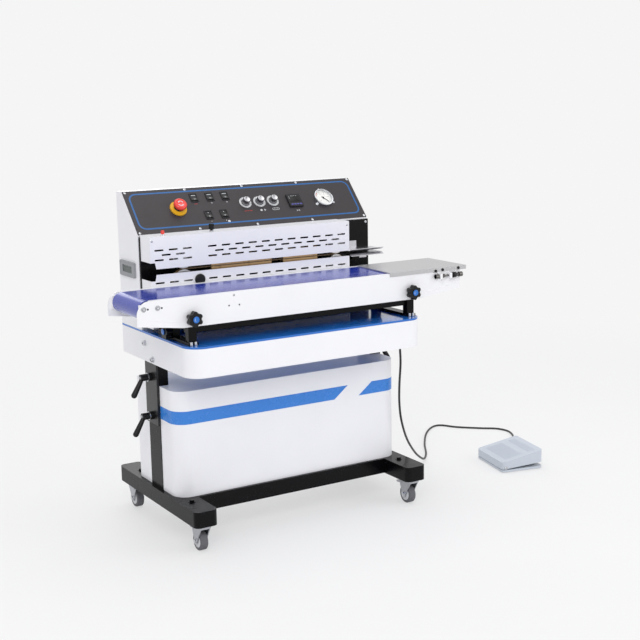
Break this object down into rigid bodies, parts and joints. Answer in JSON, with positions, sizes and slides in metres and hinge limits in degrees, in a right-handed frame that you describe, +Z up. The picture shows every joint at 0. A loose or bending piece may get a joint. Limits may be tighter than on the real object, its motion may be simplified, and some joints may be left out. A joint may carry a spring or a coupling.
{
  "type": "continuous band sealer",
  "caption": "Floor-standing band sealer: lifting table, sealing head with sloping panel, belt conveyor, infeed plate, cabinet on casters and a foot switch.",
  "frame": {"origin": "on the floor, under the middle of the whole object (stand, machine and foot switch, without the cord)", "axes": "+X along the travel line of the bags, from the outlet end to the infeed plate; +Y from the front to the back of the head; +Z up"},
  "size_m": [1.6382, 0.6873, 0.9795],
  "materials": {
    "black_paint": "gloss black powder coat",
    "white_paint": "satin white powder coat",
    "pump_alloy": "cast and painted",
    "blue_paint": "gloss blue",
    "panel_plate": "satin charcoal with a blue outline",
    "panel_plastic": "yellow ring, black frames and white dials",
    "instrument_case": "bezels and cases",
    "sealing_brass": "heater blocks, with finned alloy coolers",
    "band_fabric": "coated glass cloth",
    "brushed_stainless": "brushed",
    "zinc_steel": "zinc plated",
    "tyre_rubber": "dark grey rubber",
    "black_plastic": "moulded",
    "stop_red": "moulded, gloss",
    "knob_alloy": "knurled",
    "wheel_alloy": "turned",
    "belt_blue": "smooth glossy blue",
    "pedal_paint": "light blue-grey paint on a casting",
    "cord_rubber": "smooth black"
  },
  "bodies": {
    "stand": {"stand_base": "black_paint", "posts": "black_paint", "cabinet": "white_paint", "vacuum_pump": "pump_alloy", "pedal_base": "pedal_paint", "pedal_cord": "cord_rubber"},
    "machine": {"table_frame": "white_paint", "table_top": "blue_paint", "head_housing": "white_paint", "control_panel": "panel_plate", "panel_fittings": "panel_plastic", "instruments": "instrument_case", "sealing_frame": "black_paint", "sealing_blocks": "sealing_brass", "sealing_bands": "band_fabric", "upper_guard": "white_paint", "lower_guard": "white_paint", "feed_guides": "brushed_stainless"},
    "carriage": {"carriage_frame": "black_paint"},
    "conveyor": {"front_side_plate": "white_paint", "conveyor_bed": "white_paint", "conveyor_belt": "belt_blue", "infeed_plate": "brushed_stainless"},
    "clamp_lever_upper_left": {"clamp_lever_upper_left": "black_plastic"},
    "clamp_lever_upper_right": {"clamp_lever_upper_right": "black_plastic"},
    "clamp_lever_lower_left": {"clamp_lever_lower_left": "black_plastic"},
    "clamp_lever_lower_right": {"clamp_lever_lower_right": "black_plastic"},
    "caster_fork_front_left": {"caster_fork_front_left": "zinc_steel"},
    "caster_wheel_front_left": {"caster_wheel_front_left": "tyre_rubber"},
    "caster_brake_left": {"caster_brake_left": "black_plastic"},
    "caster_fork_front_right": {"caster_fork_front_right": "zinc_steel"},
    "caster_wheel_front_right": {"caster_wheel_front_right": "tyre_rubber"},
    "caster_brake_right": {"caster_brake_right": "black_plastic"},
    "caster_fork_rear_left": {"caster_fork_rear_left": "zinc_steel"},
    "caster_wheel_rear_left": {"caster_wheel_rear_left": "tyre_rubber"},
    "caster_fork_rear_right": {"caster_fork_rear_right": "zinc_steel"},
    "caster_wheel_rear_right": {"caster_wheel_rear_right": "tyre_rubber"},
    "band_wheel_upper_left": {"band_wheel_upper_left": "wheel_alloy"},
    "band_wheel_upper_right": {"band_wheel_upper_right": "wheel_alloy"},
    "band_wheel_lower_left": {"band_wheel_lower_left": "wheel_alloy"},
    "band_wheel_lower_right": {"band_wheel_lower_right": "wheel_alloy"},
    "stop_button": {"stop_button": "stop_red"},
    "rocker_1": {"rocker_1": "black_plastic"},
    "rocker_2": {"rocker_2": "black_plastic"},
    "rocker_3": {"rocker_3": "black_plastic"},
    "rocker_4": {"rocker_4": "black_plastic"},
    "rocker_5": {"rocker_5": "black_plastic"},
    "speed_knob_1": {"speed_knob_1": "knob_alloy"},
    "speed_knob_2": {"speed_knob_2": "knob_alloy"},
    "speed_knob_3": {"speed_knob_3": "knob_alloy"},
    "gauge_needle": {"gauge_needle": "black_plastic"},
    "shelf_knob": {"shelf_knob": "black_plastic"},
    "guard_knob": {"guard_knob": "black_plastic"},
    "carriage_knob": {"carriage_knob": "black_plastic"},
    "drive_roller": {"drive_roller": "wheel_alloy"},
    "idler_roller": {"idler_roller": "wheel_alloy"},
    "star_knob_left": {"star_knob_left": "black_plastic"},
    "star_knob_right": {"star_knob_right": "black_plastic"},
    "tension_knob": {"tension_knob": "black_plastic"},
    "pedal_tread": {"pedal_tread": "pedal_paint"}
  },
  "joints": [
    {"name": "table_lift", "type": "slide", "parent": "stand", "child": "machine", "axis": [0, 0, 1], "range_m": [0, 0.1]},
    {"name": "carriage_slide", "type": "slide", "parent": "machine", "child": "carriage", "axis": [0, -1, 0], "range_m": [0, 0.025]},
    {"name": "conveyor_lift", "type": "slide", "parent": "carriage", "child": "conveyor", "axis": [0, 0, 1], "range_m": [0, 0.035]},
    {"name": "clamp_lever_upper_left_turn", "type": "hinge", "parent": "machine", "child": "clamp_lever_upper_left", "pos_m": [-0.61787, 0.008, 0.458], "axis": [1, 0, 0], "range_deg": [-60, 60]},
    {"name": "clamp_lever_upper_right_turn", "type": "hinge", "parent": "machine", "child": "clamp_lever_upper_right", "pos_m": [0.17813, 0.008, 0.458], "axis": [1, 0, 0], "range_deg": [-60, 60]},
    {"name": "clamp_lever_lower_left_turn", "type": "hinge", "parent": "machine", "child": "clamp_lever_lower_left", "pos_m": [-0.61787, 0.008, 0.343], "axis": [1, 0, 0], "range_deg": [-60, 60]},
    {"name": "clamp_lever_lower_right_turn", "type": "hinge", "parent": "machine", "child": "clamp_lever_lower_right", "pos_m": [0.17813, 0.008, 0.343], "axis": [1, 0, 0], "range_deg": [-60, 60]},
    {"name": "caster_swivel_front_left", "type": "hinge", "parent": "stand", "child": "caster_fork_front_left", "pos_m": [-0.57587, -0.242, 0.08], "axis": [0, 0, 1], "continuous": true},
    {"name": "caster_spin_front_left", "type": "hinge", "parent": "caster_fork_front_left", "child": "caster_wheel_front_left", "pos_m": [-0.57587, -0.222, 0.028], "axis": [1, 0, 0], "continuous": true},
    {"name": "caster_brake_left_press", "type": "hinge", "parent": "caster_fork_front_left", "child": "caster_brake_left", "pos_m": [-0.57587, -0.208, 0.062], "axis": [-1, 0, 0], "range_deg": [0, 15]},
    {"name": "caster_swivel_front_right", "type": "hinge", "parent": "stand", "child": "caster_fork_front_right", "pos_m": [0.13613, -0.242, 0.08], "axis": [0, 0, 1], "continuous": true},
    {"name": "caster_spin_front_right", "type": "hinge", "parent": "caster_fork_front_right", "child": "caster_wheel_front_right", "pos_m": [0.13613, -0.222, 0.028], "axis": [1, 0, 0], "continuous": true},
    {"name": "caster_brake_right_press", "type": "hinge", "parent": "caster_fork_front_right", "child": "caster_brake_right", "pos_m": [0.13613, -0.208, 0.062], "axis": [-1, 0, 0], "range_deg": [0, 15]},
    {"name": "caster_swivel_rear_left", "type": "hinge", "parent": "stand", "child": "caster_fork_rear_left", "pos_m": [-0.57587, 0.242, 0.08], "axis": [0, 0, 1], "continuous": true},
    {"name": "caster_spin_rear_left", "type": "hinge", "parent": "caster_fork_rear_left", "child": "caster_wheel_rear_left", "pos_m": [-0.57587, 0.222, 0.028], "axis": [1, 0, 0], "continuous": true},
    {"name": "caster_swivel_rear_right", "type": "hinge", "parent": "stand", "child": "caster_fork_rear_right", "pos_m": [0.13613, 0.242, 0.08], "axis": [0, 0, 1], "continuous": true},
    {"name": "caster_spin_rear_right", "type": "hinge", "parent": "caster_fork_rear_right", "child": "caster_wheel_rear_right", "pos_m": [0.13613, 0.222, 0.028], "axis": [1, 0, 0], "continuous": true},
    {"name": "band_wheel_upper_left_spin", "type": "hinge", "parent": "machine", "child": "band_wheel_upper_left", "pos_m": [-0.49587, -0.001, 0.7982], "axis": [0, 1, 0], "continuous": true},
    {"name": "band_wheel_upper_right_spin", "type": "hinge", "parent": "machine", "child": "band_wheel_upper_right", "pos_m": [0.02013, -0.001, 0.7982], "axis": [0, 1, 0], "continuous": true},
    {"name": "band_wheel_lower_left_spin", "type": "hinge", "parent": "machine", "child": "band_wheel_lower_left", "pos_m": [-0.49587, -0.001, 0.7286], "axis": [0, 1, 0], "continuous": true},
    {"name": "band_wheel_lower_right_spin", "type": "hinge", "parent": "machine", "child": "band_wheel_lower_right", "pos_m": [0.02013, -0.001, 0.7286], "axis": [0, 1, 0], "continuous": true},
    {"name": "stop_press", "type": "slide", "parent": "machine", "child": "stop_button", "axis": [0, 0.7343, -0.6788], "range_m": [0, 0.004], "stiffness_N_per_m": 800},
    {"name": "rocker_1_tilt", "type": "hinge", "parent": "machine", "child": "rocker_1", "pos_m": [-0.38887, 0.13577, 0.94919], "axis": [1, 0, 0], "range_deg": [0, 16]},
    {"name": "rocker_2_tilt", "type": "hinge", "parent": "machine", "child": "rocker_2", "pos_m": [-0.33687, 0.13577, 0.94919], "axis": [1, 0, 0], "range_deg": [0, 16]},
    {"name": "rocker_3_tilt", "type": "hinge", "parent": "machine", "child": "rocker_3", "pos_m": [-0.28587, 0.13577, 0.94919], "axis": [1, 0, 0], "range_deg": [0, 16]},
    {"name": "rocker_4_tilt", "type": "hinge", "parent": "machine", "child": "rocker_4", "pos_m": [-0.36287, 0.09029, 0.89999], "axis": [1, 0, 0], "range_deg": [0, 16]},
    {"name": "rocker_5_tilt", "type": "hinge", "parent": "machine", "child": "rocker_5", "pos_m": [-0.31187, 0.09029, 0.89999], "axis": [1, 0, 0], "range_deg": [0, 16]},
    {"name": "speed_knob_1_turn", "type": "hinge", "parent": "machine", "child": "speed_knob_1", "pos_m": [-0.22737, 0.10888, 0.93115], "axis": [0, -0.7343, 0.6788], "range_deg": [-140, 140]},
    {"name": "speed_knob_2_turn", "type": "hinge", "parent": "machine", "child": "speed_knob_2", "pos_m": [-0.17887, 0.10888, 0.93115], "axis": [0, -0.7343, 0.6788], "range_deg": [-140, 140]},
    {"name": "speed_knob_3_turn", "type": "hinge", "parent": "machine", "child": "speed_knob_3", "pos_m": [-0.13187, 0.10888, 0.93115], "axis": [0, -0.7343, 0.6788], "range_deg": [-140, 140]},
    {"name": "gauge_needle_swing", "type": "hinge", "parent": "machine", "child": "gauge_needle", "pos_m": [0.04813, 0.10622, 0.9268], "axis": [0, -0.7343, 0.6788], "range_deg": [0, 260], "stiffness_Nm_per_rad": 0.001},
    {"name": "shelf_knob_turn", "type": "hinge", "parent": "machine", "child": "shelf_knob", "pos_m": [-0.40287, -0.006, 0.863], "axis": [0, 0, 1], "continuous": true},
    {"name": "guard_knob_turn", "type": "hinge", "parent": "machine", "child": "guard_knob", "pos_m": [-0.45237, -0.0206, 0.731], "axis": [0, 1, 0], "continuous": true},
    {"name": "carriage_knob_turn", "type": "hinge", "parent": "carriage", "child": "carriage_knob", "pos_m": [-0.58987, -0.109, 0.6093], "axis": [1, 0, 0], "continuous": true},
    {"name": "drive_roller_spin", "type": "hinge", "parent": "conveyor", "child": "drive_roller", "pos_m": [-0.70487, -0.1304, 0.6943], "axis": [0, 1, 0], "continuous": true},
    {"name": "idler_roller_spin", "type": "hinge", "parent": "conveyor", "child": "idler_roller", "pos_m": [0.26213, -0.1304, 0.6943], "axis": [0, 1, 0], "continuous": true},
    {"name": "star_knob_left_turn", "type": "hinge", "parent": "conveyor", "child": "star_knob_left", "pos_m": [-0.58087, -0.2324, 0.6619], "axis": [0, 1, 0], "continuous": true},
    {"name": "star_knob_right_turn", "type": "hinge", "parent": "conveyor", "child": "star_knob_right", "pos_m": [0.14313, -0.2324, 0.6619], "axis": [0, 1, 0], "continuous": true},
    {"name": "tension_knob_turn", "type": "hinge", "parent": "conveyor", "child": "tension_knob", "pos_m": [0.26213, -0.2404, 0.7004], "axis": [1, 0, 0], "continuous": true},
    {"name": "pedal_press", "type": "hinge", "parent": "stand", "child": "pedal_tread", "pos_m": [0.58949, -0.08311, 0.017], "axis": [0.2079, 0.9781, 0], "range_deg": [0, 4], "stiffness_Nm_per_rad": 10, "springref_deg": -3.44}
  ],
  "couplings": [
    {"joint": "band_wheel_upper_left_spin", "follows": "band_wheel_lower_right_spin", "ratio": -1},
    {"joint": "band_wheel_upper_right_spin", "follows": "band_wheel_lower_right_spin", "ratio": -1},
    {"joint": "band_wheel_lower_left_spin", "follows": "band_wheel_lower_right_spin", "ratio": 1},
    {"joint": "idler_roller_spin", "follows": "drive_roller_spin", "ratio": 1}
  ]
}
